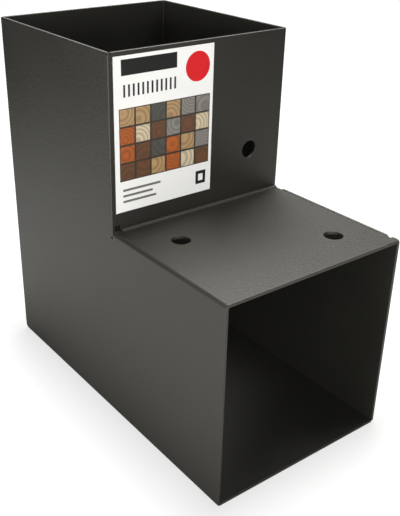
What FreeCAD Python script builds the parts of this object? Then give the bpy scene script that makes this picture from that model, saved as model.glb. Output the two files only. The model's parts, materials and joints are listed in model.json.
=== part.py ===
import FreeCAD, Part
import math
import os
import Sketcher

# Corner post connector: two U-folded steel sheets, each with an L-shaped side wall, interlock
# and are seam-welded into two square sleeves at a right angle, for a post and a beam.
# Millimetres, +Z up. The origin is under the middle of the base, and the beam sleeve opens towards -Y.

os.makedirs("parts", exist_ok=True)
doc = FreeCAD.newDocument("corner_post_connector")

# Driving dimensions
SIZES = {
    # timber and sheet
    "timber_side": 100.0,
    "timber_clearance": 1.0,
    "sheet_thickness": 1.5,
    "bend_inner_radius": 0.5,
    "edge_rounding": 0.3,
    # sleeves, beyond the block where they cross
    "arm_reach": 83.0,
    "post_reach": 83.0,
    # seams and cuts at the bends' ends
    "seam_groove": 1.0,
    "relief_width": 1.5,
    "relief_drop": 3.2,
    "relief_reach": 4.5,
    "plate_cut_width": 3.0,
    "plate_cut_height": 2.8,
    "corner_cut_run": 4.3,
    "corner_cut_rise": 3.5,
    "corner_cut_reach": 3.5,
    # bolt holes: from the side faces, from the sleeve's mouth and from the inner corner
    "bolt_hole_diameter": 9.0,
    "arm_hole_side": 21.5,
    "arm_hole_mouth": 21.4,
    "arm_hole_corner": 24.8,
    "post_hole_side": 21.2,
    "post_hole_mouth": 21.4,
    "post_hole_corner": 24.6,
    # weld beads: rounded ones, one dressed flush, one that caps its corner and the inner fillet
    "round_wash": 0.8,
    "round_setback": 0.9,
    "round_crown": 0.45,
    "flush_wash": 0.2,
    "flush_setback": 0.3,
    "flush_crown": 0.12,
    "cap_wash": 0.3,
    "cap_lap": 0.4,
    "cap_crown": 1.1,
    "fillet_rise": 1.1,
    "fillet_run": 2.5,
    "fillet_crown": 0.45,
    "fillet_clearance": 0.4,
    "tack_length": 4.0,
    "weld_gap": 2.2,
    "weld_end_inset": 0.3,
    "arm_seam_start": 5.7,
    "corner_weld_start": 5.5,
    # paper label on the post sleeve's front
    "label_width": 55.2,
    "label_height": 72.2,
    "label_thickness": 0.12,
    "label_side": 2.5,
    "label_rim": 2.0,
}

sheet = doc.addObject("Spreadsheet::Sheet", "Sizes")
for row, (alias, number) in enumerate(SIZES.items(), start=1):
    sheet.set(f"A{row}", alias.replace("_", " "))
    sheet.set(f"B{row}", str(number))
    sheet.setAlias(f"B{row}", alias)
doc.recompute()

# Planes and lengths that follow from the driving dimensions
WALL = "Sizes.sheet_thickness"
GROOVE = "Sizes.seam_groove"
WIDTH = f"(Sizes.timber_side + Sizes.timber_clearance + 2 * {WALL})"
HALF = f"({WIDTH} / 2)"
INNER = f"({HALF} - {WALL})"
ARM_TOP = WIDTH
POST_TOP = f"({ARM_TOP} + Sizes.post_reach)"
DEPTH = f"({WIDTH} + Sizes.arm_reach)"
MOUTH = f"(-{DEPTH} / 2)"
BACK = f"({DEPTH} / 2)"
POST_FRONT = f"({MOUTH} + Sizes.arm_reach)"
INNER_BEND = "Sizes.bend_inner_radius"
OUTER_BEND = f"({INNER_BEND} + {WALL})"
PLANE_TOLERANCE = 1e-6


def number_of(expression):
    """Number that an expression has with the sheet's present values."""
    return float(sheet.evalExpression(expression))


def add_arc(sketch, centre, first, last):
    """Adds the shorter arc between two points and returns its index and the numbers of its two ends."""
    turns_left = (first - centre).cross(last - centre).z > 0
    low, high = (first, last) if turns_left else (last, first)
    circle = Part.Circle(centre, FreeCAD.Vector(0, 0, 1), (first - centre).Length)
    start = math.atan2(low.y - centre.y, low.x - centre.x)
    end = math.atan2(high.y - centre.y, high.x - centre.x)
    if end < start:
        end += 2 * math.pi
    index = sketch.addGeometry(Part.ArcOfCircle(circle, start, end))
    return (index, 1, 2) if turns_left else (index, 2, 1)


def chord_centre(first, last, radius, outline):
    """Centre of an arc that closes an outline and bulges out of it."""
    signed_area = sum(a.cross(b).z for a, b in zip(outline, outline[1:] + outline[:1]))
    chord = last - first
    rise = math.sqrt(radius ** 2 - (chord.Length / 2) ** 2)
    side = FreeCAD.Vector(-chord.y, chord.x, 0).normalize()
    return (first + last) / 2 + side * math.copysign(rise, signed_area)


def rounded_stops(corners):
    """Stops of an outline, with each rounded right-angled corner split into the two ends of its bend."""
    places = [FreeCAD.Vector(number_of(corner[0]), number_of(corner[1]), 0) for corner in corners]
    stops = []
    for index, corner in enumerate(corners):
        if len(corner) == 2:
            stops.append((corner[0], corner[1], None, None))
            continue
        radius = corner[2]
        towards_last = (places[index - 1] - places[index]).normalize()
        towards_next = (places[(index + 1) % len(places)] - places[index]).normalize()
        centre = places[index] + (towards_last + towards_next) * number_of(radius)
        for direction, bend in ((towards_last, (radius, centre)), (towards_next, (None, None))):
            across = f"{corner[0]} + {direction.x:.0f} * {radius}"
            along = f"{corner[1]} + {direction.y:.0f} * {radius}"
            stops.append((across, along, *bend))
    return stops


def draw_outline(sketch, corners, closing_radius=None):
    """Draws a closed outline, each point and radius bound to the sheet.

    A corner is two expressions, or three where it is rounded; a closing radius turns the last
    edge into an arc that bulges outwards.
    """
    stops = rounded_stops(corners)
    points = [FreeCAD.Vector(number_of(stop[0]), number_of(stop[1]), 0) for stop in stops]
    if closing_radius:
        centre = chord_centre(points[-1], points[0], number_of(closing_radius), points)
        stops[-1] = (*stops[-1][:2], closing_radius, centre)
    edges = []
    for index, stop in enumerate(stops):
        first, last = points[index], points[(index + 1) % len(points)]
        radius, centre = stop[2:]
        if radius is None:
            edges.append((sketch.addGeometry(Part.LineSegment(first, last)), 1, 2))
        else:
            edges.append(add_arc(sketch, centre, first, last))
    for index, (edge, stop) in enumerate(zip(edges, stops)):
        following = edges[(index + 1) % len(edges)]
        sketch.addConstraint(Sketcher.Constraint("Coincident", edge[0], edge[2], following[0], following[1]))
        for kind, name, expression in (("DistanceX", "across", stop[0]), ("DistanceY", "along", stop[1])):
            place = number_of(expression)
            constraint = sketch.addConstraint(Sketcher.Constraint(kind, edge[0], edge[1], place))
            sketch.renameConstraint(constraint, f"{name}_{index}")
            sketch.setExpression(f"Constraints.{name}_{index}", expression)
        if stop[2]:
            constraint = sketch.addConstraint(Sketcher.Constraint("Radius", edge[0], number_of(stop[2])))
            sketch.renameConstraint(constraint, f"radius_{index}")
            sketch.setExpression(f"Constraints.radius_{index}", stop[2])


def draw_circles(sketch, centres, diameter):
    """Draws equal circles at the given centres, bound to the sheet."""
    for index, centre in enumerate(centres):
        middle = FreeCAD.Vector(number_of(centre[0]), number_of(centre[1]), 0)
        upright = FreeCAD.Vector(0, 0, 1)
        circle = sketch.addGeometry(Part.Circle(middle, upright, number_of(diameter) / 2))
        bindings = (
            ("across", Sketcher.Constraint("DistanceX", circle, 3, middle.x), centre[0]),
            ("along", Sketcher.Constraint("DistanceY", circle, 3, middle.y), centre[1]),
            ("diameter", Sketcher.Constraint("Diameter", circle, number_of(diameter)), diameter),
        )
        for name, constraint, expression in bindings:
            added = sketch.addConstraint(constraint)
            sketch.renameConstraint(added, f"{name}_{index}")
            sketch.setExpression(f"Constraints.{name}_{index}", expression)


def new_body(label):
    """New body with its label."""
    body = doc.addObject("PartDesign::Body", label)
    body.Label = label
    return body


def sketch_on(body, name, role, offset):
    """New sketch on one of the body's origin planes, moved along the plane's normal."""
    plane = next(feature for feature in body.Origin.OriginFeatures if feature.Role == role)
    sketch = body.newObject("Sketcher::SketchObject", name)
    sketch.AttachmentSupport = [(plane, "")]
    sketch.MapMode = "FlatFace"
    sketch.setExpression("AttachmentOffset.Base.z", offset)
    return sketch


def pad(body, name, sketch, length):
    """Pads a sketch along its normal."""
    feature = body.newObject("PartDesign::Pad", name)
    feature.Profile = sketch
    feature.setExpression("Length", length)
    doc.recompute()
    return feature


def pocket(body, name, sketch, length, along_normal=False):
    """Cuts a sketch out of the body and makes sure that it took something away."""
    before = body.Tip.Shape.Volume
    feature = body.newObject("PartDesign::Pocket", name)
    feature.Profile = sketch
    feature.Reversed = along_normal
    feature.setExpression("Length", length)
    doc.recompute()
    if feature.Shape.Volume >= before:
        raise RuntimeError(f"{name} cuts nothing")
    return feature


def lies_on(edge, axis, place):
    """Whether an edge lies in the plane across an axis at a place."""
    box = edge.BoundBox
    low, high = (getattr(box, f"{axis}{end}") for end in ("Min", "Max"))
    return abs(low - place) < PLANE_TOLERANCE and abs(high - place) < PLANE_TOLERANCE


def is_round_hole(edge):
    """Whether an edge is a whole circle."""
    return isinstance(edge.Curve, Part.Circle) and edge.isClosed()


def is_end_of_sheet(edge):
    """Whether an edge only crosses the sheet's thickness."""
    return isinstance(edge.Curve, Part.Line) and abs(edge.Length - number_of(WALL)) < PLANE_TOLERANCE


def soften_edges(body, name, rims, hole_face):
    """Rounds the coated edges of the open rims, and of the bolt holes on their outer face."""
    rim_planes = [(axis, number_of(place)) for axis, place in rims]
    hole_axis, hole_place = hole_face[0], number_of(hole_face[1])
    picked = []
    for index, edge in enumerate(body.Tip.Shape.Edges, start=1):
        on_rim = any(lies_on(edge, axis, place) for axis, place in rim_planes)
        on_hole = is_round_hole(edge) and lies_on(edge, hole_axis, hole_place)
        if on_hole or (on_rim and not is_end_of_sheet(edge)):
            picked.append(f"Edge{index}")
    feature = body.newObject("PartDesign::Fillet", name)
    feature.Base = (feature.BaseFeature, picked)
    feature.setExpression("Radius", "Sizes.edge_rounding")
    doc.recompute()
    return feature


def rectangle(left, right, low, high):
    """Corners of a rectangle, counter-clockwise."""
    return [(left, low), (right, low), (right, high), (left, high)]


def corner_cut_outline():
    """Side view of the slanted cut that frees a bend's end at the bottom of the back edge."""
    below = f"-{WALL}"
    behind = f"{BACK} + {WALL}"
    front_end = f"{BACK} - Sizes.corner_cut_run"
    return [
        (front_end, below),
        (behind, below),
        (behind, "Sizes.corner_cut_rise"),
        (BACK, "Sizes.corner_cut_rise"),
        (front_end, "0"),
    ]


def build_arm_sheet():
    """Left side wall with the beam sleeve's top plate and the full-length bottom plate folded from it."""
    body = new_body("arm_folded_sheet")
    post_edge = f"({POST_FRONT} + {GROOVE})"
    back_edge = f"({BACK} - {GROOVE})"

    channel = sketch_on(body, "arm_channel_section", "XZ_Plane", f"-{post_edge}")
    draw_outline(channel, [
        (INNER, "0"),
        (INNER, WALL),
        (f"-{INNER}", WALL, INNER_BEND),
        (f"-{INNER}", f"{ARM_TOP} - {WALL}", INNER_BEND),
        (INNER, f"{ARM_TOP} - {WALL}"),
        (INNER, ARM_TOP),
        (f"-{HALF}", ARM_TOP, OUTER_BEND),
        (f"-{HALF}", "0", OUTER_BEND),
    ])
    pad(body, "arm_channel", channel, f"Sizes.arm_reach + {GROOVE}")

    angle = sketch_on(body, "rear_angle_section", "XZ_Plane", f"-{back_edge}")
    draw_outline(angle, [
        (INNER, "0"),
        (INNER, WALL),
        (f"-{INNER}", WALL, INNER_BEND),
        (f"-{INNER}", POST_TOP),
        (f"-{HALF}", POST_TOP),
        (f"-{HALF}", "0", OUTER_BEND),
    ])
    pad(body, "rear_angle", angle, f"{WIDTH} - 2 * {GROOVE}")

    # the bottom plate stops at the back plate's inner face
    trim = sketch_on(body, "bottom_trim_outline", "XY_Plane", WALL)
    draw_outline(trim, rectangle(f"-{INNER}", HALF, f"{BACK} - {WALL}", BACK))
    pocket(body, "bottom_trim", trim, OUTER_BEND)

    relief = sketch_on(body, "top_bend_relief_outline", "YZ_Plane", f"-{HALF}")
    draw_outline(relief, rectangle(
        f"{post_edge} - Sizes.relief_width",
        post_edge,
        f"{ARM_TOP} - Sizes.relief_drop",
        ARM_TOP,
    ))
    pocket(body, "top_bend_relief", relief, "Sizes.relief_reach", along_normal=True)

    corner = sketch_on(body, "bottom_bend_cut_outline", "YZ_Plane", f"-{HALF}")
    draw_outline(corner, corner_cut_outline())
    pocket(body, "bottom_bend_cut", corner, "Sizes.corner_cut_reach", along_normal=True)

    holes = sketch_on(body, "arm_bolt_hole_circles", "XY_Plane", ARM_TOP)
    draw_circles(holes, [
        (f"Sizes.arm_hole_side - {HALF}", f"{POST_FRONT} - Sizes.arm_hole_corner"),
        (f"{HALF} - Sizes.arm_hole_side", f"{MOUTH} + Sizes.arm_hole_mouth"),
    ], "Sizes.bolt_hole_diameter")
    pocket(body, "arm_bolt_holes", holes, f"2 * {WALL}")
    soften_edges(body, "arm_soft_edges", [("Y", MOUTH), ("Z", POST_TOP)], ("Z", ARM_TOP))
    return body


def build_post_sheet():
    """Right side wall with the post sleeve's front plate and the full-height back plate folded from it."""
    body = new_body("post_folded_sheet")

    angle = sketch_on(body, "lower_angle_section", "XY_Plane", GROOVE)
    draw_outline(angle, [
        (HALF, MOUTH),
        (HALF, BACK, OUTER_BEND),
        (f"-{INNER}", BACK),
        (f"-{INNER}", f"{BACK} - {WALL}"),
        (INNER, f"{BACK} - {WALL}", INNER_BEND),
        (INNER, MOUTH),
    ])
    pad(body, "lower_angle", angle, f"{ARM_TOP} - {GROOVE}")

    # the side wall's top edge leaves room for the seam, and the slot goes on past the front bend
    slot = sketch_on(body, "arm_seam_slot_outline", "YZ_Plane", HALF)
    draw_outline(slot, rectangle(
        f"{MOUTH} - {WALL}",
        f"{POST_FRONT} + Sizes.relief_drop",
        f"{ARM_TOP} - {GROOVE}",
        f"{ARM_TOP} + {WALL}",
    ))
    pocket(body, "arm_seam_slot", slot, f"2 * {WALL}")

    channel = sketch_on(body, "post_channel_section", "XY_Plane", ARM_TOP)
    draw_outline(channel, [
        (f"-{INNER}", POST_FRONT),
        (HALF, POST_FRONT, OUTER_BEND),
        (HALF, BACK, OUTER_BEND),
        (f"-{INNER}", BACK),
        (f"-{INNER}", f"{BACK} - {WALL}"),
        (INNER, f"{BACK} - {WALL}", INNER_BEND),
        (INNER, f"{POST_FRONT} + {WALL}", INNER_BEND),
        (f"-{INNER}", f"{POST_FRONT} + {WALL}"),
    ])
    pad(body, "post_channel", channel, "Sizes.post_reach")

    # the front plate's lower left corner is cut away beside the beam sleeve's bend
    plate_cut = sketch_on(body, "plate_corner_outline", "XZ_Plane", f"-{POST_FRONT}")
    draw_outline(plate_cut, rectangle(
        f"-{HALF}",
        f"Sizes.plate_cut_width - {INNER}",
        f"{ARM_TOP} - {WALL}",
        f"{ARM_TOP} + Sizes.plate_cut_height",
    ))
    pocket(body, "plate_corner_cut", plate_cut, f"2 * {WALL}")

    corner = sketch_on(body, "back_bend_cut_outline", "YZ_Plane", HALF)
    draw_outline(corner, corner_cut_outline())
    pocket(body, "back_bend_cut", corner, "Sizes.corner_cut_reach")

    holes = sketch_on(body, "post_bolt_hole_circles", "XZ_Plane", f"-{POST_FRONT}")
    draw_circles(holes, [
        (f"{HALF} - Sizes.post_hole_side", f"{ARM_TOP} + Sizes.post_hole_corner"),
        (f"Sizes.post_hole_side - {HALF}", f"{POST_TOP} - Sizes.post_hole_mouth"),
    ], "Sizes.bolt_hole_diameter")
    pocket(body, "post_bolt_holes", holes, f"2 * {WALL}")
    soften_edges(body, "post_soft_edges", [("Y", MOUTH), ("Z", POST_TOP)], ("Y", POST_FRONT))
    return body


def crown_radius(chord_squared, crown):
    """Radius of an arc over a chord, from the height of its crown."""
    return f"(({chord_squared} / 4 + {crown} ^ 2) / (2 * {crown}))"


def groove_bead_outline(flange_face, inwards, wall_inner_face, outwards, finish="round"):
    """Section of a bead that fills a seam's groove, breaks its corner and washes over the side wall.

    The two directions are signs, and the wall's thickness lies along the sketch's first axis.
    """
    def corner(inward, outward):
        return f"{wall_inner_face} + {outwards} * ({outward})", f"{flange_face} + {inwards} * ({inward})"

    return [
        corner(f"{GROOVE} + Sizes.{finish}_wash", WALL),
        corner(GROOVE, WALL),
        corner(GROOVE, "0"),
        corner("0", "0"),
        corner("0", f"{WALL} - Sizes.{finish}_setback"),
    ]


def groove_bead_radius(finish="round"):
    """Radius of the face of a bead in a seam's groove."""
    chord_squared = f"(({GROOVE} + Sizes.{finish}_wash) ^ 2 + Sizes.{finish}_setback ^ 2)"
    return crown_radius(chord_squared, f"Sizes.{finish}_crown")


CAP_CHORD_SQUARED = f"(({GROOVE} + Sizes.cap_wash) ^ 2 + ({WALL} + Sizes.cap_lap) ^ 2)"
CAP_RADIUS = crown_radius(CAP_CHORD_SQUARED, "Sizes.cap_crown")
FILLET_RADIUS = crown_radius("(Sizes.fillet_run ^ 2 + Sizes.fillet_rise ^ 2)", "Sizes.fillet_crown")
TACK_REACH = "(Sizes.weld_end_inset + Sizes.tack_length)"
RUN_REACH = f"({TACK_REACH} + Sizes.weld_gap)"


def seam_along(start_run, end_run, middle=None):
    """Stretches of a seam's main run, broken by one gap where it is a long seam."""
    if middle is None:
        return [(start_run, end_run)]
    return [
        (start_run, f"{middle} - Sizes.weld_gap / 2"),
        (f"{middle} + Sizes.weld_gap / 2", end_run),
    ]


def build_weld_beads():
    """Beads of all the seams: five outer corners and the fillet in the inner corner."""
    left_wall = f"-{INNER}"
    top_tack = (f"{POST_TOP} - {TACK_REACH}", f"{POST_TOP} - Sizes.weld_end_inset")
    mouth_tack = (f"{MOUTH} + Sizes.weld_end_inset", f"{MOUTH} + {TACK_REACH}")
    top_run_end = f"{POST_TOP} - {RUN_REACH}"
    mouth_run_start = f"{MOUTH} + {RUN_REACH}"
    rear_limit = f"{BACK} - Sizes.corner_weld_start"
    side_limit = f"({HALF} - Sizes.corner_weld_start)"
    fillet_outline = [
        (f"{POST_FRONT} - Sizes.fillet_run", ARM_TOP),
        (POST_FRONT, ARM_TOP),
        (POST_FRONT, f"{ARM_TOP} + Sizes.fillet_rise"),
    ]
    fillet_start = f"Sizes.relief_reach + Sizes.fillet_clearance - {HALF}"
    cap_outline = [
        (HALF, f"{ARM_TOP} - {GROOVE} - Sizes.cap_wash"),
        (HALF, f"{ARM_TOP} - {GROOVE}"),
        (INNER, f"{ARM_TOP} - {GROOVE}"),
        (INNER, ARM_TOP),
        (f"{INNER} - Sizes.cap_lap", ARM_TOP),
    ]
    relief_floor = f"{ARM_TOP} - Sizes.relief_drop"
    round_radius = groove_bead_radius()
    # name, plane across the seam, section, radius of the bead's face, stretches along the seam
    seams = [
        ("front_left", "XY_Plane", groove_bead_outline(POST_FRONT, 1, left_wall, -1, "flush"),
         groove_bead_radius("flush"),
         seam_along(f"{relief_floor} + Sizes.weld_end_inset", f"{POST_TOP} - Sizes.weld_end_inset")),
        ("back_left", "XY_Plane", groove_bead_outline(BACK, -1, left_wall, -1), round_radius,
         [top_tack] + seam_along("Sizes.corner_weld_start", top_run_end, f"{POST_TOP} / 2")),
        ("arm_top", "XZ_Plane", cap_outline, CAP_RADIUS,
         [mouth_tack] + seam_along(mouth_run_start, f"{POST_FRONT} - Sizes.arm_seam_start")),
        ("arm_bottom", "XZ_Plane", groove_bead_outline("0", 1, INNER, 1), round_radius,
         [mouth_tack] + seam_along(mouth_run_start, rear_limit, "0")),
        ("rear_bottom", "YZ_Plane", groove_bead_outline("0", 1, f"({BACK} - {WALL})", 1), round_radius,
         seam_along(f"-{side_limit}", side_limit)),
        ("inner_corner", "YZ_Plane", fillet_outline, FILLET_RADIUS, seam_along(fillet_start, INNER)),
    ]
    beads = []
    for name, role, outline, radius, stretches in seams:
        for index, (start, end) in enumerate(stretches, start=1):
            body = new_body(f"{name}_bead_{index}")
            # the normal of the plane across Y points towards -Y
            base = f"-({end})" if role == "XZ_Plane" else start
            section = sketch_on(body, f"{name}_bead_section_{index}", role, base)
            draw_outline(section, outline, radius)
            pad(body, f"{name}_bead_run_{index}", section, f"{end} - ({start})")
            beads.append(body)
    compound = doc.addObject("Part::Compound", "weld_beads")
    compound.Label = "weld_beads"
    compound.Links = beads
    return compound


def build_label():
    """Paper label stuck to the post sleeve's front plate, near its upper left corner."""
    body = new_body("paper_label")
    left = f"Sizes.label_side - {HALF}"
    right = f"{left} + Sizes.label_width"
    high = f"{POST_TOP} - Sizes.label_rim"
    low = f"{high} - Sizes.label_height"
    outline = sketch_on(body, "label_outline", "XZ_Plane", f"-{POST_FRONT}")
    draw_outline(outline, rectangle(left, right, low, high))
    pad(body, "label_sheet", outline, "Sizes.label_thickness")
    return body


sub_parts = [build_arm_sheet(), build_post_sheet(), build_weld_beads(), build_label()]
doc.recompute()

# Every object has to be sound before anything is written
for item in doc.Objects:
    if "Invalid" in item.State or "Error" in item.State:
        raise RuntimeError(f"{item.Label} did not recompute: {item.State}")
for sub_part in sub_parts:
    shape = sub_part.Shape
    if shape.isNull() or not shape.isValid():
        raise RuntimeError(f"{sub_part.Label} is not a valid shape")
    shape.exportStep(f"parts/{sub_part.Label}.step")
    print(sub_part.Label, len(shape.Solids), "solids", round(shape.Volume, 1), "mm3", shape.BoundBox)
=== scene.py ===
"""Looks of a corner post connector: powder-coated folded sheets, welded seams and a printed paper label.

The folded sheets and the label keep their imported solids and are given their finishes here. The weld
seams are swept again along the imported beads, with the ripples that a welder leaves. Sizes are in
millimetres unless a name says otherwise, and the row frame is in metres.
"""

import json
import logging
import math
from collections.abc import Iterator, Mapping
from dataclasses import dataclass
from enum import Enum

import bmesh
import bpy
from bpy.types import Material, Node, NodeSocket, NodeTree, Object
from mathutils import Matrix, Vector


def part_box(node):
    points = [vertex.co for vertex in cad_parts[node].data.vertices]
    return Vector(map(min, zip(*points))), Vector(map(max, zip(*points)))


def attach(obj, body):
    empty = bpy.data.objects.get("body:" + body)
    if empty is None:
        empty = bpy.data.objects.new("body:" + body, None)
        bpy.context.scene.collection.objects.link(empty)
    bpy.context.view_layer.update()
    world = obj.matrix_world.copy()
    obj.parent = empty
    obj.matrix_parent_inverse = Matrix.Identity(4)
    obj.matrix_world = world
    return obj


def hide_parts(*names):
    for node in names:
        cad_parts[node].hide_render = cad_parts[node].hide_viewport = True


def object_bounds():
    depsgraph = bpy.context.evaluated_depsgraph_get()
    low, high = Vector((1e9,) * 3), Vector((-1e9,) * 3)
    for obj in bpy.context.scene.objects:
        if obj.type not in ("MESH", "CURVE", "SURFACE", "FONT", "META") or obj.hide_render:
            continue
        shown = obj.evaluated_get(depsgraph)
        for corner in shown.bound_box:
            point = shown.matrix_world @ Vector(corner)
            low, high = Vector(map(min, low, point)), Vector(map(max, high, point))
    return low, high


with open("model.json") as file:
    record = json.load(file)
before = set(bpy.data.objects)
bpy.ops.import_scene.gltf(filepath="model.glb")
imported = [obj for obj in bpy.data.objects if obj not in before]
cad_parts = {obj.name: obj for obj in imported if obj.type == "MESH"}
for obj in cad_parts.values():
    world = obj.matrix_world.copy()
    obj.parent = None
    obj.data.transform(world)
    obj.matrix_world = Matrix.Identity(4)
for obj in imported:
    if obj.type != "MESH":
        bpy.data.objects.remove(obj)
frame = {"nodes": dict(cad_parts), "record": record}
cad_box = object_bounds()

log = logging.getLogger("corner_post_connector")

MM = 0.001
BODY = "root"

Point = tuple[float, float, float]
Colour = tuple[float, float, float, float]
# Left edge, lower edge, width and height of a printed rectangle, from the label's lower left corner
Field = tuple[float, float, float, float]
# Painted shadow in the floor's glow: the glow's strength at the connector's foot, and how far from there it
# is full
PaintedShadowFade = tuple[float, float]

# Places of the colour sockets on a Mix node that is set to mix colours
MIX_FACTOR, MIX_A, MIX_B, MIX_RESULT = 0, 6, 7, 2
# Stops that a new colour ramp comes with
READY_STOPS = 2
# Middle of a timber end, as a share of its side
MIDDLE = 0.5


class Slot(Enum):
    """Material slots of the record."""

    POWDER_COAT = "powder_coat"
    LABEL_PAPER = "label_paper"


class Solid(Enum):
    """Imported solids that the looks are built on."""

    ARM_SHEET = "arm_folded_sheet"
    POST_SHEET = "post_folded_sheet"
    WELD_BEADS = "weld_beads"
    LABEL = "paper_label"

    @property
    def piece(self) -> Object:
        """The solid's object in the frame."""
        return frame["nodes"][self.value]


def linear(hex_colour: str) -> Colour:
    """Turns an sRGB hex colour into linear light.

    Args:
        hex_colour: the colour as #rrggbb.

    Returns:
        Red, green and blue in linear light, and a full alpha.
    """
    channels = [int(hex_colour[start:start + 2], 16) / 255 for start in (1, 3, 5)]
    red, green, blue = [c / 12.92 if c <= 0.04045 else ((c + 0.055) / 1.055) ** 2.4 for c in channels]
    return red, green, blue, 1.0


def per_metre(size_mm: float) -> float:
    """Gives the texture scale that draws a feature at its size, on coordinates in metres."""
    return 1 / (size_mm * MM)


def add_node(
    tree: NodeTree, kind: str, inputs: Mapping[str | int, object] | None = None, **settings: object
) -> Node:
    """Adds one node to a tree, with its settings and links.

    Args:
        tree: the tree that takes the node.
        kind: the node's type, without its ShaderNode prefix.
        inputs: by the input's name or place, the output that is linked to it or the value that it holds.
        settings: the node's own properties.

    Returns:
        The new node.
    """
    node = tree.nodes.new("ShaderNode" + kind)
    for name, value in settings.items():
        setattr(node, name, value)
    for place, value in (inputs or {}).items():
        if isinstance(value, NodeSocket):
            tree.links.new(value, node.inputs[place])
        else:
            node.inputs[place].default_value = value
    return node


def new_material(name: str) -> Material:
    """Makes a material whose node tree is still empty.

    Args:
        name: the material's name.

    Returns:
        The new material.
    """
    material = bpy.data.materials.new(name)
    material.use_nodes = True
    material.node_tree.nodes.clear()
    return material


def seen_rays(tree: NodeTree) -> NodeSocket:
    """Tells the rays that show a surface from those that only carry its light.

    Args:
        tree: the tree that takes the nodes.

    Returns:
        An output that is 1 for rays from the camera, from reflections and through clear things.
    """
    rays = add_node(tree, "LightPath").outputs
    direct = add_node(
        tree, "Math", {0: rays["Is Camera Ray"], 1: rays["Is Glossy Ray"]}, operation="MAXIMUM"
    ).outputs[0]
    return add_node(tree, "Math", {0: direct, 1: rays["Is Transmission Ray"]}, operation="MAXIMUM").outputs[0]


def dress(piece: Object, material: Material) -> None:
    """Gives a piece one material all over.

    Args:
        piece: the mesh object to dress.
        material: its finish.
    """
    if not piece.material_slots:
        piece.data.materials.append(material)
    for slot in piece.material_slots:
        slot.material = material


@dataclass(frozen=True)
class PowderCoat:
    """Polyester powder coat of fine texture, sprayed on folded steel sheet and stoved."""

    name: str = "polyester_powder_coat_stoved"
    pigment: str = "#1b1a17"
    fleck: str = "#2a2924"
    ior: float = 1.6
    specular_level: float = 0.5
    reflection: str = "#fffcf0"
    smoothest: float = 0.48
    roughest: float = 0.58
    grain_size: float = 1.2
    grain_height: float = 0.15
    grain_detail: float = 2.0
    peel_size: float = 3.5
    peel_height: float = 0.012
    peel_detail: float = 1.0
    cloud_size: float = 45.0
    cloud_detail: float = 2.0

    def build(self) -> Material:
        """Makes the coat's material.

        Returns:
            The material of the sheets and seams.
        """
        # A stoved fine-texture powder is dark and matt head on and turns pale grey where light grazes it. Its
        # resin warms what it mirrors a little. The sandy grain is about 0.15 mm across on the real coat, and
        # is drawn coarser and deeper here so that it shows.
        material = new_material(self.name)
        tree = material.node_tree
        place = add_node(tree, "TexCoord").outputs["Object"]
        grain = add_node(
            tree,
            "TexNoise",
            {"Vector": place, "Scale": per_metre(self.grain_size), "Detail": self.grain_detail},
        ).outputs["Fac"]
        peel = add_node(
            tree,
            "TexNoise",
            {"Vector": place, "Scale": per_metre(self.peel_size), "Detail": self.peel_detail},
        ).outputs["Fac"]
        cloud = add_node(
            tree,
            "TexNoise",
            {"Vector": place, "Scale": per_metre(self.cloud_size), "Detail": self.cloud_detail},
        ).outputs["Fac"]
        speckle = add_node(tree, "Math", {0: grain, 1: cloud}, operation="MULTIPLY").outputs[0]
        colour = add_node(
            tree,
            "Mix",
            {MIX_FACTOR: speckle, MIX_A: linear(self.pigment), MIX_B: linear(self.fleck)},
            data_type="RGBA",
        ).outputs[MIX_RESULT]
        roughness = add_node(
            tree, "MapRange", {"Value": cloud, "To Min": self.smoothest, "To Max": self.roughest}
        ).outputs["Result"]
        waves = add_node(tree, "Bump", {"Height": peel, "Distance": self.peel_height * MM}).outputs["Normal"]
        sand = add_node(
            tree, "Bump", {"Height": grain, "Distance": self.grain_height * MM, "Normal": waves}
        ).outputs["Normal"]
        shader = add_node(
            tree,
            "BsdfPrincipled",
            {
                "Base Color": colour,
                "Roughness": roughness,
                "IOR": self.ior,
                "Specular IOR Level": self.specular_level,
                "Specular Tint": linear(self.reflection),
                "Normal": sand,
            },
        ).outputs["BSDF"]
        add_node(tree, "OutputMaterial", {"Surface": shader})
        return material


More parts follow.
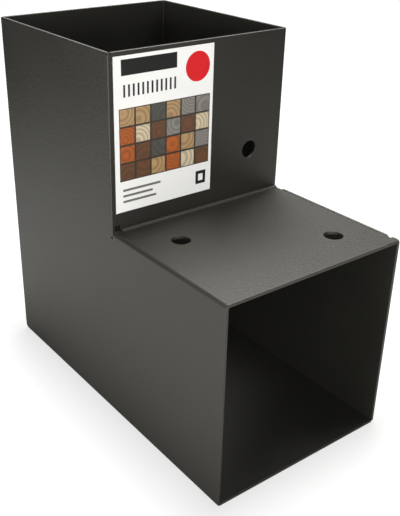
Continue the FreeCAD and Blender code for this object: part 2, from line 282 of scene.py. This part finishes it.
@dataclass(frozen=True)
class PrintedPaper:
    """Coated white paper, offset printed with plain fields: bars, a disc, a ruler and stacked timber."""

    corner_m: Vector
    name: str = "coated_paper_offset_printed"
    paper: str = "#faf9f5"
    red_ink: str = "#dc1f26"
    black_ink: str = "#1d1d1c"
    grey_ink: str = "#6f6e6a"
    woods: tuple[str, ...] = ("#dccaa9", "#b9976a", "#b5602a", "#6d4a31", "#8f8b83", "#55534d")
    shade: str = "#3a3631"
    ior: float = 1.5
    smoothest: float = 0.42
    roughest: float = 0.56
    fibre_size: float = 0.9
    fibre_height: float = 0.004
    fibre_detail: float = 3.0
    disc_centre: tuple[float, float] = (46.0, 62.5)
    disc_radius: float = 7.0
    heading: Field = (4.0, 63.5, 30.0, 7.0)
    ruler: Field = (4.0, 54.0, 30.0, 5.5)
    ruler_pitch: float = 2.5
    ruler_tick: float = 1.0
    picture: Field = (2.5, 15.0, 51.0, 34.0)
    timber_side: float = 8.5
    timber_gap: float = 0.9
    ring_pitch: float = 1.5
    ring_depth: float = 0.4
    small_print: tuple[Field, ...] = ((4.0, 10.0, 21.0, 1.1), (4.0, 7.2, 16.5, 1.1), (4.0, 4.4, 18.5, 1.1))
    ring_outside: Field = (46.0, 4.4, 6.0, 6.7)
    ring_inside: Field = (47.6, 6.0, 2.8, 3.5)

    def bar(self, tree: NodeTree, across: NodeSocket, up: NodeSocket, field: Field) -> NodeSocket:
        """Masks an upright rectangle of the print.

        Args:
            tree: the paper's node tree.
            across: millimetres from the label's left edge.
            up: millimetres from the label's lower edge.
            field: the rectangle.

        Returns:
            An output that is 1 inside the rectangle and 0 outside.
        """
        left, low, width, height = field
        columns = add_node(
            tree, "Math", {0: across, 1: left + width / 2, 2: width / 2}, operation="COMPARE"
        ).outputs[0]
        rows = add_node(
            tree, "Math", {0: up, 1: low + height / 2, 2: height / 2}, operation="COMPARE"
        ).outputs[0]
        return add_node(tree, "Math", {0: columns, 1: rows}, operation="MULTIPLY").outputs[0]

    def masks(self, tree: NodeTree, across: NodeSocket, up: NodeSocket) -> Iterator[tuple[NodeSocket, str]]:
        """Draws the fields that are printed in one ink.

        Args:
            tree: the paper's node tree.
            across: millimetres from the label's left edge.
            up: millimetres from the label's lower edge.

        Yields:
            The mask of each field and its ink.
        """
        yield self.bar(tree, across, up, self.heading), self.black_ink
        turn = add_node(tree, "Math", {0: across, 1: self.ruler_pitch}, operation="MODULO").outputs[0]
        tick = add_node(tree, "Math", {0: turn, 1: self.ruler_tick}, operation="LESS_THAN").outputs[0]
        ruler = self.bar(tree, across, up, self.ruler)
        yield add_node(tree, "Math", {0: ruler, 1: tick}, operation="MULTIPLY").outputs[0], self.black_ink
        flat = add_node(tree, "CombineXYZ", {"X": across, "Y": up}).outputs[0]
        from_centre = add_node(
            tree, "VectorMath", {0: flat, 1: (*self.disc_centre, 0.0)}, operation="DISTANCE"
        ).outputs["Value"]
        disc = add_node(tree, "Math", {0: from_centre, 1: self.disc_radius}, operation="LESS_THAN").outputs[0]
        yield disc, self.red_ink
        for field in self.small_print:
            yield self.bar(tree, across, up, field), self.grey_ink
        outside = self.bar(tree, across, up, self.ring_outside)
        inside = self.bar(tree, across, up, self.ring_inside)
        yield add_node(tree, "Math", {0: outside, 1: inside}, operation="SUBTRACT").outputs[0], self.black_ink

    def timber(self, tree: NodeTree, across: NodeSocket, up: NodeSocket) -> NodeSocket:
        """Draws the ends of stacked timber, each in a wood of its own with growth rings about its pith.

        Args:
            tree: the paper's node tree.
            across: millimetres from the label's left edge.
            up: millimetres from the label's lower edge.

        Returns:
            The picture's colour.
        """
        left, low, _, _ = self.picture
        flat = add_node(tree, "CombineXYZ", {"X": across, "Y": up}).outputs[0]
        from_corner = add_node(
            tree, "VectorMath", {0: flat, 1: (left, low, 0.0)}, operation="SUBTRACT"
        ).outputs[0]
        ends = add_node(
            tree, "VectorMath", {0: from_corner, "Scale": 1 / self.timber_side}, operation="SCALE"
        ).outputs[0]
        which = add_node(tree, "VectorMath", {0: ends}, operation="FLOOR").outputs[0]
        inside = add_node(tree, "VectorMath", {0: ends}, operation="FRACTION").outputs[0]
        chance = add_node(tree, "TexWhiteNoise", {"Vector": which})
        wood = add_node(tree, "ValToRGB", {"Fac": chance.outputs["Value"]})
        wood.color_ramp.interpolation = "CONSTANT"
        for index, colour in enumerate(self.woods):
            stops = wood.color_ramp.elements
            start = index / len(self.woods)
            stop = stops[index] if index < READY_STOPS else stops.new(start)
            stop.position = start
            stop.color = linear(colour)
        from_pith = add_node(
            tree, "VectorMath", {0: inside, 1: chance.outputs["Color"]}, operation="DISTANCE"
        ).outputs["Value"]
        rings = math.tau * self.timber_side / self.ring_pitch
        growth = add_node(tree, "Math", {0: from_pith, 1: rings}, operation="MULTIPLY").outputs[0]
        wave = add_node(tree, "Math", {0: growth}, operation="SINE").outputs[0]
        late = add_node(
            tree, "MapRange", {"Value": wave, "From Min": -1.0, "To Max": self.ring_depth}
        ).outputs["Result"]
        ringed = add_node(
            tree,
            "Mix",
            {MIX_FACTOR: late, MIX_A: wood.outputs["Color"], MIX_B: linear(self.shade)},
            data_type="RGBA",
        ).outputs[MIX_RESULT]
        centred = add_node(
            tree, "VectorMath", {0: inside, 1: (MIDDLE, MIDDLE, 0.0)}, operation="SUBTRACT"
        ).outputs[0]
        from_middle = add_node(tree, "VectorMath", {0: centred}, operation="ABSOLUTE").outputs[0]
        sides = add_node(tree, "SeparateXYZ", {0: from_middle}).outputs
        farthest = add_node(tree, "Math", {0: sides["X"], 1: sides["Y"]}, operation="MAXIMUM").outputs[0]
        edge = MIDDLE - self.timber_gap / self.timber_side / 2
        gap = add_node(tree, "Math", {0: farthest, 1: edge}, operation="GREATER_THAN").outputs[0]
        return add_node(
            tree, "Mix", {MIX_FACTOR: gap, MIX_A: ringed, MIX_B: linear(self.shade)}, data_type="RGBA"
        ).outputs[MIX_RESULT]

    def build(self) -> Material:
        """Makes the printed paper's material.

        Returns:
            The material of the label.
        """
        # Coated stock is a clean white with a faint fibre, and the ink film lies a little smoother than the
        # paper. The fibre is about 0.1 mm on real paper, and is drawn coarser here so that it shows.
        material = new_material(self.name)
        tree = material.node_tree
        place = add_node(tree, "TexCoord").outputs["Object"]
        from_corner = add_node(
            tree, "VectorMath", {0: place, 1: self.corner_m}, operation="SUBTRACT"
        ).outputs[0]
        in_mm = add_node(tree, "VectorMath", {0: from_corner, "Scale": 1 / MM}, operation="SCALE").outputs[0]
        sides = add_node(tree, "SeparateXYZ", {0: in_mm}).outputs
        across, up = sides["X"], sides["Z"]
        inked = self.bar(tree, across, up, self.picture)
        colour = add_node(
            tree,
            "Mix",
            {MIX_FACTOR: inked, MIX_A: linear(self.paper), MIX_B: self.timber(tree, across, up)},
            data_type="RGBA",
        ).outputs[MIX_RESULT]
        for mask, ink in self.masks(tree, across, up):
            colour = add_node(
                tree, "Mix", {MIX_FACTOR: mask, MIX_A: colour, MIX_B: linear(ink)}, data_type="RGBA"
            ).outputs[MIX_RESULT]
            inked = add_node(tree, "Math", {0: inked, 1: mask}, operation="MAXIMUM").outputs[0]
        fibre = add_node(
            tree,
            "TexNoise",
            {"Vector": place, "Scale": per_metre(self.fibre_size), "Detail": self.fibre_detail},
        ).outputs["Fac"]
        roughness = add_node(
            tree, "MapRange", {"Value": inked, "To Min": self.roughest, "To Max": self.smoothest}
        ).outputs["Result"]
        relief = add_node(
            tree, "Bump", {"Height": fibre, "Distance": self.fibre_height * MM}
        ).outputs["Normal"]
        shader = add_node(
            tree,
            "BsdfPrincipled",
            {"Base Color": colour, "Roughness": roughness, "IOR": self.ior, "Normal": relief},
        ).outputs["BSDF"]
        add_node(tree, "OutputMaterial", {"Surface": shader})
        return material


@dataclass(frozen=True)
class FloorBoard:
    """Matt painted board of the studio floor: pale where it lights the connector, white with a painted shadow
    where seen.
    """

    half_footprint_m: Vector
    name: str = "matt_painted_floor_board"
    board: str = "#dcdcda"
    shaded: str = "#6e6e6c"
    glow: float = 1.0
    # Painted shadows: the glow dimmed at the connector's foot, as the camera sees it and as a reflection
    # shows it
    camera_painted_shadow: PaintedShadowFade = (0.72, 32.0)
    mirrored_painted_shadow: PaintedShadowFade = (0.12, 75.0)

    def build(self) -> Material:
        """Makes the floor's material.

        Returns:
            The material of the studio floor.
        """
        # Seen by the camera or in a reflection the board glows white, less so close to the connector, where
        # the dimmed glow is a painted shadow; under the glow it still takes the connector's own shadow. In a
        # reflection the painted shadow at the foot stays deep. Every other ray meets a plain pale board.
        material = new_material(self.name)
        tree = material.node_tree
        place = add_node(tree, "TexCoord").outputs["Object"]
        size = add_node(tree, "VectorMath", {0: place}, operation="ABSOLUTE").outputs[0]
        past = add_node(
            tree, "VectorMath", {0: size, 1: self.half_footprint_m}, operation="SUBTRACT"
        ).outputs[0]
        outside = add_node(tree, "VectorMath", {0: past, 1: Vector()}, operation="MAXIMUM").outputs[0]
        distance = add_node(tree, "VectorMath", {0: outside}, operation="LENGTH").outputs["Value"]
        # Painted shadow: the glow rises from its dimmed strength at the foot to full over the reach
        direct, mirrored = (
            add_node(
                tree,
                "MapRange",
                {"Value": distance, "From Max": reach * MM, "To Min": near, "To Max": self.glow},
            ).outputs["Result"]
            for near, reach in (self.camera_painted_shadow, self.mirrored_painted_shadow)
        )
        camera_ray = add_node(tree, "LightPath").outputs["Is Camera Ray"]
        strength = add_node(
            tree, "MapRange", {"Value": camera_ray, "To Min": mirrored, "To Max": direct}
        ).outputs["Result"]
        glow = add_node(tree, "Emission", {"Strength": strength}).outputs["Emission"]
        shade = add_node(tree, "BsdfDiffuse", {"Color": linear(self.shaded)}).outputs["BSDF"]
        white = add_node(tree, "AddShader", {0: shade, 1: glow}).outputs["Shader"]
        pale = add_node(tree, "BsdfDiffuse", {"Color": linear(self.board)}).outputs["BSDF"]
        surface = add_node(tree, "MixShader", {0: seen_rays(tree), 1: pale, 2: white}).outputs["Shader"]
        add_node(tree, "OutputMaterial", {"Surface": surface})
        return material


@dataclass(frozen=True)
class FlagCloth:
    """Matt black cloth of a studio flag, which keeps stray reflections off the coat."""

    name: str = "matt_black_flag_cloth"
    cloth: str = "#101010"

    def build(self) -> Material:
        """Makes the flags' material.

        Returns:
            The material of the flags.
        """
        # Black cotton gives back almost no light, so a reflection of it is plain dark.
        material = new_material(self.name)
        tree = material.node_tree
        matt = add_node(tree, "BsdfDiffuse", {"Color": linear(self.cloth)}).outputs["BSDF"]
        add_node(tree, "OutputMaterial", {"Surface": matt})
        return material


@dataclass
class FoldedSheets:
    """The two folded steel sheets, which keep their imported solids."""

    coat: Material

    def build(self) -> Iterator[Object]:
        """Dresses both sheets.

        Yields:
            Each sheet.
        """
        for solid in (Solid.ARM_SHEET, Solid.POST_SHEET):
            dress(solid.piece, self.coat)
            yield solid.piece


@dataclass
class WeldBead:
    """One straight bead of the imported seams: its section and where it runs."""

    axis: int
    start: float
    end: float
    outline: list[tuple[float, float]]
    root: tuple[float, float]

    @property
    def across(self) -> tuple[int, int]:
        """The two axes of the bead's section."""
        first, second = [axis for axis in range(3) if axis != self.axis]
        return first, second

    def point(self, along: float, first: float, second: float) -> Vector:
        """Gives the place in the frame of a point of the section."""
        place = Vector((along, along, along))
        place[self.across[0]] = first
        place[self.across[1]] = second
        return place


@dataclass
class WeldSeams:
    """The weld runs and tacks along the corners, swept with a welder's ripples and coated with the sheets."""

    coat: Material
    ripple_pitch: float = 1.8
    ripple_share: float = 0.055
    ripple_bow: float = 0.7
    wander_pitch: float = 11.0
    wander_turn: float = 0.9
    ring_step: float = 0.25
    fewest_steps: int = 8
    end_length: float = 1.1
    end_share: float = 0.22
    touching: float = 0.001
    crease: float = 35.0

    def heart(self) -> Vector:
        """Finds where the sleeves' centre lines cross, which every bead's root faces."""
        places = {mount["name"]: mount["pos_m"] for mount in frame["record"]["mounts"]}
        return Vector((0.0, places["post_sleeve"][1], places["beam_sleeve"][2]))

    def beads(self) -> Iterator[WeldBead]:
        """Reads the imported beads.

        Yields:
            Each bead with its section, in metres.
        """
        mesh = bmesh.new()
        mesh.from_mesh(Solid.WELD_BEADS.piece.data)
        bmesh.ops.remove_doubles(mesh, verts=mesh.verts, dist=self.touching * MM)
        waiting = set(mesh.verts)
        for seed in mesh.verts:
            if seed not in waiting:
                continue
            waiting.remove(seed)
            island, border = set(), [seed]
            while border:
                vertex = border.pop()
                island.add(vertex)
                found = {edge.other_vert(vertex) for edge in vertex.link_edges} & waiting
                waiting -= found
                border.extend(found)
            yield self.read_bead(island)
        mesh.free()

    def read_bead(self, island: set[bmesh.types.BMVert]) -> WeldBead:
        """Takes one bead's run and section from its vertices.

        Args:
            island: the vertices of one packed bead.

        Returns:
            The bead.
        """
        lows = [min(vertex.co[axis] for vertex in island) for axis in range(3)]
        highs = [max(vertex.co[axis] for vertex in island) for axis in range(3)]
        axis = max(range(3), key=lambda one: highs[one] - lows[one])
        first, second = [one for one in range(3) if one != axis]
        heart = self.heart()
        root = tuple(
            min(lows[one], highs[one], key=lambda side: abs(side - heart[one])) for one in (first, second)
        )
        end_face = {vertex for vertex in island if vertex.co[axis] - lows[axis] < self.touching * MM}
        rim = [
            edge
            for vertex in end_face
            for edge in vertex.link_edges
            if edge.other_vert(vertex) in end_face
            and any(not end_face.issuperset(face.verts) for face in edge.link_faces)
        ]
        neighbours: dict[bmesh.types.BMVert, set[bmesh.types.BMVert]] = {}
        for edge in rim:
            for vertex in edge.verts:
                neighbours.setdefault(vertex, set()).add(edge.other_vert(vertex))
        loop = [min(neighbours, key=lambda vertex: vertex.index)]
        while onward := neighbours[loop[-1]] - set(loop):
            loop.append(min(onward, key=lambda vertex: vertex.index))
        outline = [(vertex.co[first], vertex.co[second]) for vertex in loop]
        return WeldBead(axis, lows[axis], highs[axis], outline, root)

    def shrink(self, bead: WeldBead, along: float, first: float, second: float) -> float:
        """Works out how far the ripples and the rounded ends draw a point of the bead towards its root.

        Args:
            bead: the bead.
            along: the place along the bead, in metres.
            first: the point's place on the section's first axis.
            second: the point's place on the section's second axis.

        Returns:
            The share of the way to the root.
        """
        reach = [max(abs(point[side] - bead.root[side]) for point in bead.outline) for side in (0, 1)]
        skew = abs(first - bead.root[0]) / reach[0] - abs(second - bead.root[1]) / reach[1]
        run = (along - bead.start) / MM + self.ripple_bow * skew * skew
        wander = self.wander_turn * math.sin(math.tau * run / self.wander_pitch)
        ripple = self.ripple_share * (0.5 - 0.5 * math.cos(math.tau * run / self.ripple_pitch + wander))
        to_end = min(along - bead.start, bead.end - along) / MM
        dip = max(0.0, 1 - to_end / self.end_length)
        return ripple + self.end_share * dip * dip

    def build(self) -> Iterator[Object]:
        """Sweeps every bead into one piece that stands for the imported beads.

        Yields:
            The seams.
        """
        mesh = bmesh.new()
        for bead in self.beads():
            length = bead.end - bead.start
            count = max(self.fewest_steps, round(length / (self.ring_step * MM)))
            rings = []
            for step in range(count + 1):
                along = bead.start + length * step / count
                ring = []
                for first, second in bead.outline:
                    share = self.shrink(bead, along, first, second)
                    place = [
                        value + (root - value) * share for value, root in zip((first, second), bead.root)
                    ]
                    ring.append(mesh.verts.new(bead.point(along, *place)))
                rings.append(ring)
            for ring, following in zip(rings, rings[1:]):
                for side in range(len(ring)):
                    onward = (side + 1) % len(ring)
                    mesh.faces.new((ring[side], ring[onward], following[onward], following[side]))
            mesh.faces.new(rings[0])
            mesh.faces.new(rings[-1])
        bmesh.ops.recalc_face_normals(mesh, faces=mesh.faces)
        data = bpy.data.meshes.new("weld_seams")
        mesh.to_mesh(data)
        mesh.free()
        data.shade_smooth()
        data.set_sharp_from_angle(angle=math.radians(self.crease))
        piece = bpy.data.objects.new("weld_seams", data)
        bpy.context.scene.collection.objects.link(piece)
        dress(piece, self.coat)
        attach(piece, BODY)
        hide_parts(Solid.WELD_BEADS.value)
        yield piece


@dataclass
class PaperLabel:
    """The paper label on the front of the post sleeve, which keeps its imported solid."""

    def build(self) -> Iterator[Object]:
        """Dresses the label, with its print measured from its lower left corner.

        Yields:
            The label.
        """
        corner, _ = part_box(Solid.LABEL.value)
        dress(Solid.LABEL.piece, PrintedPaper(corner).build())
        yield Solid.LABEL.piece


@dataclass(frozen=True)
class Softbox:
    """One square soft lamp, aimed at a point of the connector."""

    name: str
    place: Point
    side: float
    power_w: float
    aim: Point = (0.0, 0.0, 90.0)

    def build(self) -> Object:
        """Hangs the lamp.

        Returns:
            The lamp's object.
        """
        lamp = bpy.data.lights.new(self.name, "AREA")
        lamp.size = self.side * MM
        lamp.energy = self.power_w
        holder = bpy.data.objects.new(self.name, lamp)
        bpy.context.scene.collection.objects.link(holder)
        holder.location = Vector(self.place) * MM
        towards = Vector(self.aim) - Vector(self.place)
        holder.rotation_euler = towards.to_track_quat("-Z", "Y").to_euler()
        holder.visible_camera = False
        return holder


@dataclass(frozen=True)
class Flag:
    """One upright black card that stands beside the picture, facing the connector."""

    name: str
    azimuth: float
    distance: float
    width: float
    height: float

    def build(self, cloth: Material) -> Object:
        """Stands the card up.

        Args:
            cloth: its material.

        Returns:
            The card, which the camera does not see.
        """
        turn = math.radians(self.azimuth)
        outward = Vector((math.sin(turn), -math.cos(turn), 0.0))
        sideways = Vector((-outward.y, outward.x, 0.0)) * self.width / 2
        middle = outward * self.distance
        corners = [
            (middle + side * sideways + Vector((0.0, 0.0, level))) * MM
            for side, level in ((-1, 0.0), (1, 0.0), (1, self.height), (-1, self.height))
        ]
        data = bpy.data.meshes.new(self.name)
        data.from_pydata(corners, [], [(0, 1, 2, 3)])
        card = bpy.data.objects.new(self.name, data)
        bpy.context.scene.collection.objects.link(card)
        dress(card, cloth)
        card.visible_camera = False
        return card


@dataclass
class Studio:
    """Plain studio: a painted floor board, soft lamps, black flags and a white surround.

    The surround lights the connector with its ambient strength. Where it is seen, it has the backdrop's
    strength up to the angle where the ceiling begins, and the ceiling's from the angle where that is full.
    """

    floor_side: float = 2400.0
    surround: str = "#ffffff"
    ambient: float = 0.42
    backdrop: float = 1.0
    ceiling: float = 0.4
    ceiling_begins: float = 20.0
    ceiling_full: float = 60.0
    lamps: tuple[Softbox, ...] = (
        Softbox("front_softbox", (-322.0, -836.0, 168.0), 300.0, 4.6),
        Softbox("left_softbox", (-895.0, 0.0, 150.0), 300.0, 3.5),
        Softbox("overhead_right_softbox", (380.0, 0.0, 906.0), 500.0, 3.7),
        Softbox("overhead_rear_softbox", (318.0, 267.0, 888.0), 450.0, 6.5),
        Softbox("rear_softbox", (301.0, 521.0, 759.0), 400.0, 2.0),
    )
    flags: tuple[Flag, ...] = (
        Flag("rear_left_flag", -142.0, 470.0, 820.0, 400.0),
        Flag("front_right_flag", 43.0, 400.0, 800.0, 420.0),
        Flag("rear_right_flag", 112.0, 380.0, 620.0, 460.0),
    )

    def build(self) -> Iterator[Object]:
        """Lays the floor, hangs the lamps and flags and sets the surround.

        Yields:
            Each object of the studio.
        """
        yield self.lay_floor()
        for lamp in self.lamps:
            yield lamp.build()
        cloth = FlagCloth().build()
        for flag in self.flags:
            yield flag.build(cloth)
        self.set_surround()

    def lay_floor(self) -> Object:
        """Lays the floor board under the connector.

        Returns:
            The floor.
        """
        half = self.floor_side / 2 * MM
        corners = [(-half, -half, 0.0), (half, -half, 0.0), (half, half, 0.0), (-half, half, 0.0)]
        data = bpy.data.meshes.new("studio_floor")
        data.from_pydata(corners, [], [(0, 1, 2, 3)])
        floor = bpy.data.objects.new("studio_floor", data)
        bpy.context.scene.collection.objects.link(floor)
        dress(floor, FloorBoard((cad_box[1] - cad_box[0]) / 2).build())
        return floor

    def set_surround(self) -> None:
        """Surrounds the scene with a backdrop that is white low down and dimmer overhead."""
        world = bpy.data.worlds.new("white_surround")
        bpy.context.scene.world = world
        world.use_nodes = True
        tree = world.node_tree
        tree.nodes.clear()
        direction = add_node(tree, "TexCoord").outputs["Generated"]
        upward = add_node(tree, "SeparateXYZ", {0: direction}).outputs["Z"]
        seen = add_node(
            tree,
            "MapRange",
            {
                "Value": upward,
                "From Min": math.sin(math.radians(self.ceiling_begins)),
                "From Max": math.sin(math.radians(self.ceiling_full)),
                "To Min": self.backdrop,
                "To Max": self.ceiling,
            },
        ).outputs["Result"]
        strength = add_node(
            tree, "MapRange", {"Value": seen_rays(tree), "To Min": self.ambient, "To Max": seen}
        ).outputs["Result"]
        light = add_node(
            tree, "Background", {"Strength": strength, "Color": linear(self.surround)}
        ).outputs["Background"]
        add_node(tree, "OutputWorld", {"Surface": light})


@dataclass
class PhotoCamera:
    """The camera, at the photograph's angle and distance."""

    target: Point = (-8.83, -1.17, 80.78)
    azimuth: float = -36.656
    elevation: float = 26.007
    roll: float = 0.662
    distance: float = 404.92
    lens: float = 54.690
    sensor: float = 36.0
    shift: tuple[float, float] = (0.0496, -0.0216)
    clip: tuple[float, float] = (20.0, 40000.0)

    def build(self) -> Object:
        """Sets up the camera and makes it the scene's own.

        Returns:
            The camera.
        """
        turn, rise = math.radians(self.azimuth), math.radians(self.elevation)
        back = Vector((math.sin(turn) * math.cos(rise), -math.cos(turn) * math.cos(rise), math.sin(rise)))
        data = bpy.data.cameras.new("photo_camera")
        data.lens = self.lens
        data.sensor_width = self.sensor
        data.shift_x, data.shift_y = self.shift
        data.clip_start, data.clip_end = [end * MM for end in self.clip]
        camera = bpy.data.objects.new("photo_camera", data)
        bpy.context.scene.collection.objects.link(camera)
        level = (-back).to_track_quat("-Z", "Y").to_matrix().to_4x4()
        rolled = level @ Matrix.Rotation(math.radians(self.roll), 4, "Z")
        camera.matrix_world = Matrix.Translation((Vector(self.target) + back * self.distance) * MM) @ rolled
        bpy.context.scene.camera = camera
        return camera


def main() -> None:
    """Builds the looks in order and reports each piece."""
    logging.basicConfig(level=logging.INFO, format="%(message)s")
    bpy.context.scene.view_settings.view_transform = "Standard"
    coat = PowderCoat().build()
    for assembly in (FoldedSheets(coat), WeldSeams(coat), PaperLabel()):
        for piece in assembly.build():
            log.info("%s: %d faces", piece.name, len(piece.data.polygons))
    for thing in Studio().build():
        log.info("studio: %s", thing.name)
    log.info("camera: %s", PhotoCamera().build().name)


if __name__ == "__main__":
    main()
